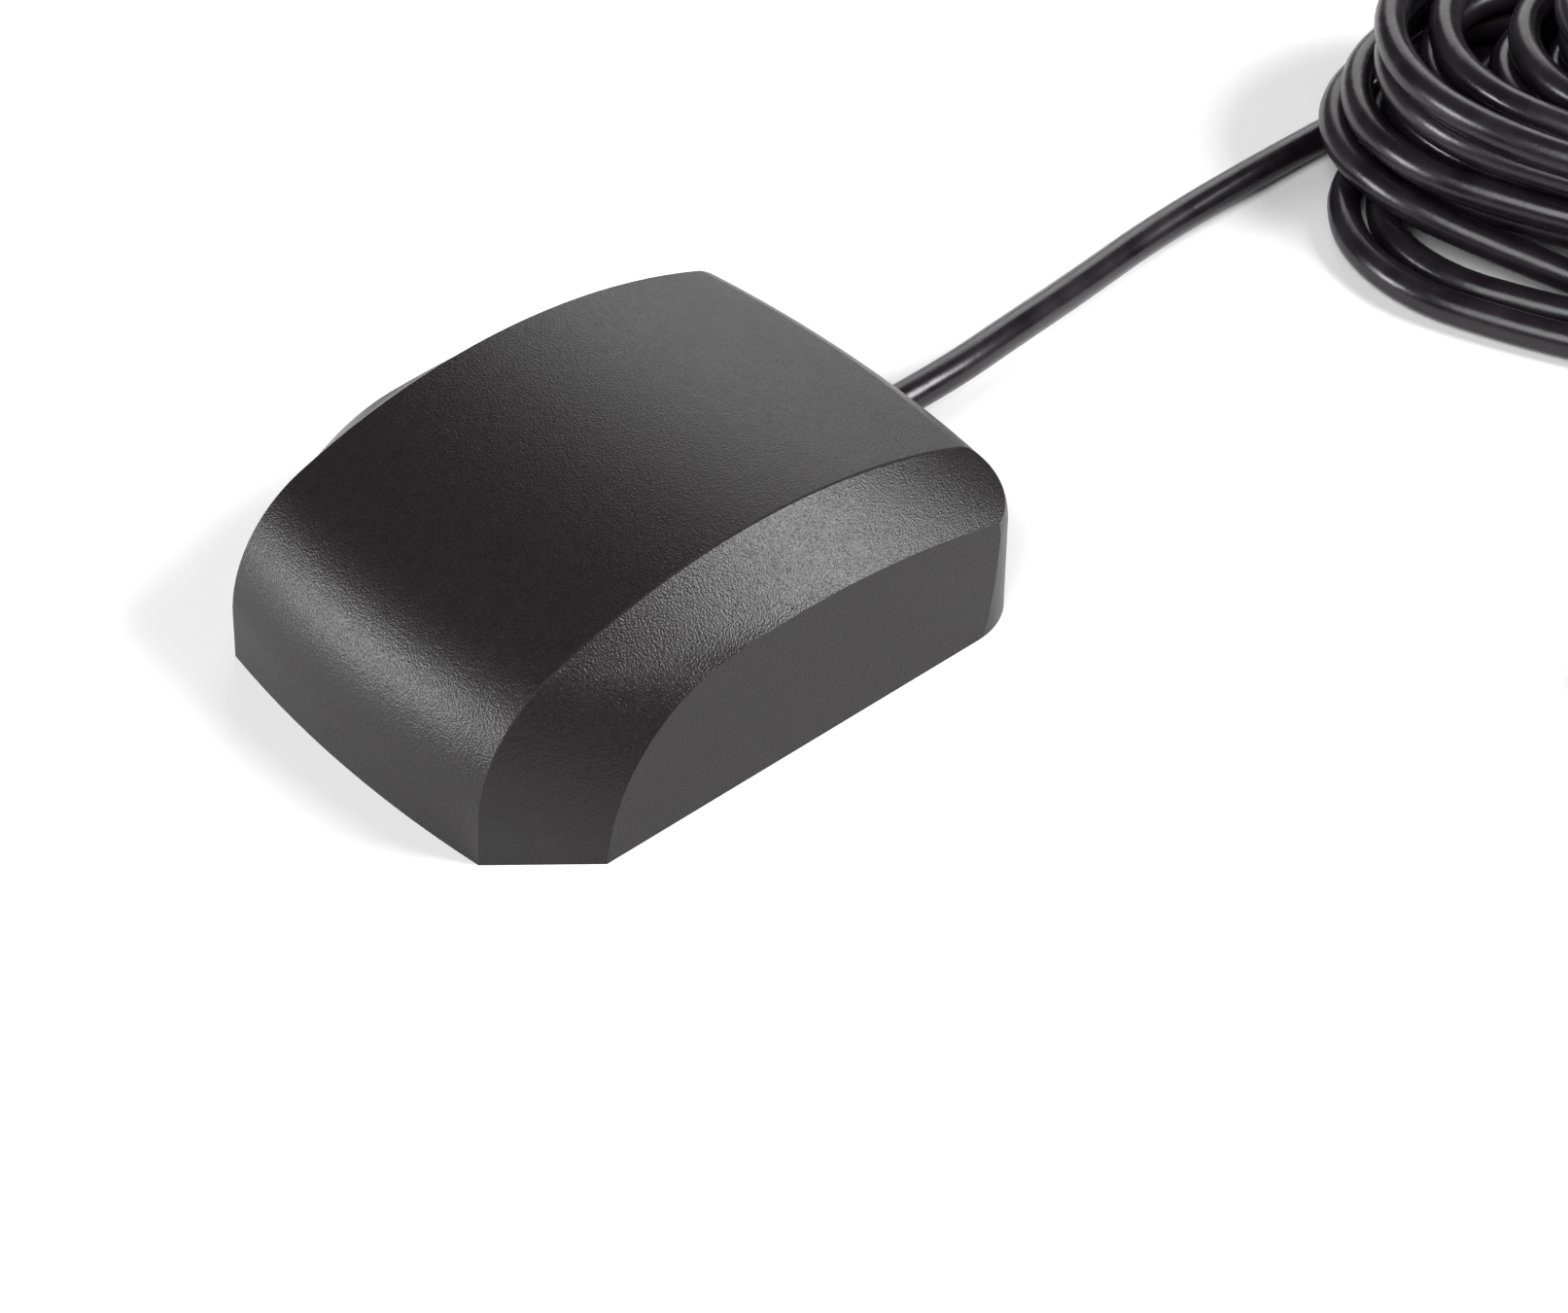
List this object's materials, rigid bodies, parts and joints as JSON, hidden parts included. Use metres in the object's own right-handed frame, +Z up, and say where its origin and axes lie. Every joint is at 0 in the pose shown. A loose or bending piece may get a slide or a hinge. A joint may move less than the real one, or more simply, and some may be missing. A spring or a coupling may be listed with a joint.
{
  "type": "gps antenna",
  "caption": "Magnetic puck antenna for satellite positioning: domed black housing with side bands, coaxial lead in a loose coil, screw-on plug whose coupling nut turns",
  "frame": {"origin": "under the middle of the housing, on the surface it stands on", "axes": "+Z up out of the housing, +Y along the housing towards the lead's exit, +X to its right side"},
  "size_m": [0.0831, 0.1557, 0.017],
  "materials": {
    "cover_plastic": "fine spark-eroded matte",
    "plate_plastic": "matte",
    "label_film": "satin",
    "gasket_rubber": "matte",
    "screw_steel": "zinc plated",
    "magnet_nickel": "nickel plated",
    "board_laminate": "gloss",
    "patch_stoneware": "matte",
    "silver_film": "satin",
    "foam_adhesive": "matte",
    "contact_brass": "gold plated",
    "solder_tin": "satin",
    "can_steel": "tin plated",
    "chip_resin": "matte",
    "chip_ceramic": "satin",
    "crimp_metal": "satin",
    "lead_jacket": "semi-gloss",
    "braid_copper": "tinned",
    "core_insulation": "matte",
    "core_copper": "bare copper",
    "plug_gold": "gold plated",
    "spring_bronze": "satin",
    "seal_silicone": "matte",
    "sleeve_shrink": "satin"
  },
  "bodies": {
    "antenna": {"top_cover": "cover_plastic", "base_plate": "plate_plastic", "base_label": "label_film", "sealing_gasket": "gasket_rubber", "case_screws": "screw_steel", "magnet": "magnet_nickel", "circuit_board": "board_laminate", "patch_adhesive": "foam_adhesive", "ground_electrode": "silver_film", "patch_ceramic": "patch_stoneware", "patch_electrode": "silver_film", "feed_pin": "contact_brass", "feed_solder": "solder_tin", "shield_can": "can_steel", "saw_filter": "chip_ceramic", "amplifier_transistors": "chip_resin", "board_capacitors": "chip_ceramic", "board_resistors": "chip_resin", "board_inductor": "chip_resin", "lead_jacket_end": "lead_jacket", "lead_braid_end": "braid_copper", "lead_dielectric_end": "core_insulation", "lead_core_end": "core_copper", "braid_solder": "solder_tin", "core_solder": "solder_tin", "cable_grommet": "gasket_rubber", "crimp_ring": "crimp_metal", "antenna_lead": "lead_jacket", "lead_coil": "lead_jacket", "lead_tail": "lead_jacket", "plug_body": "plug_gold", "snap_ring": "spring_bronze", "mating_gasket": "seal_silicone", "plug_insulator": "core_insulation", "plug_centre_pin": "contact_brass", "plug_core_end": "core_copper", "plug_dielectric_end": "core_insulation", "plug_braid_end": "braid_copper", "crimp_ferrule": "plug_gold", "heat_shrink_sleeve": "sleeve_shrink"},
    "coupling_nut": {"coupling_nut": "plug_gold"}
  },
  "joints": [
    {"name": "coupling_nut_turn", "type": "hinge", "parent": "antenna", "child": "coupling_nut", "pos_m": [0.0585, 0.054, 0.004], "axis": [0, -1, 0], "continuous": true}
  ]
}
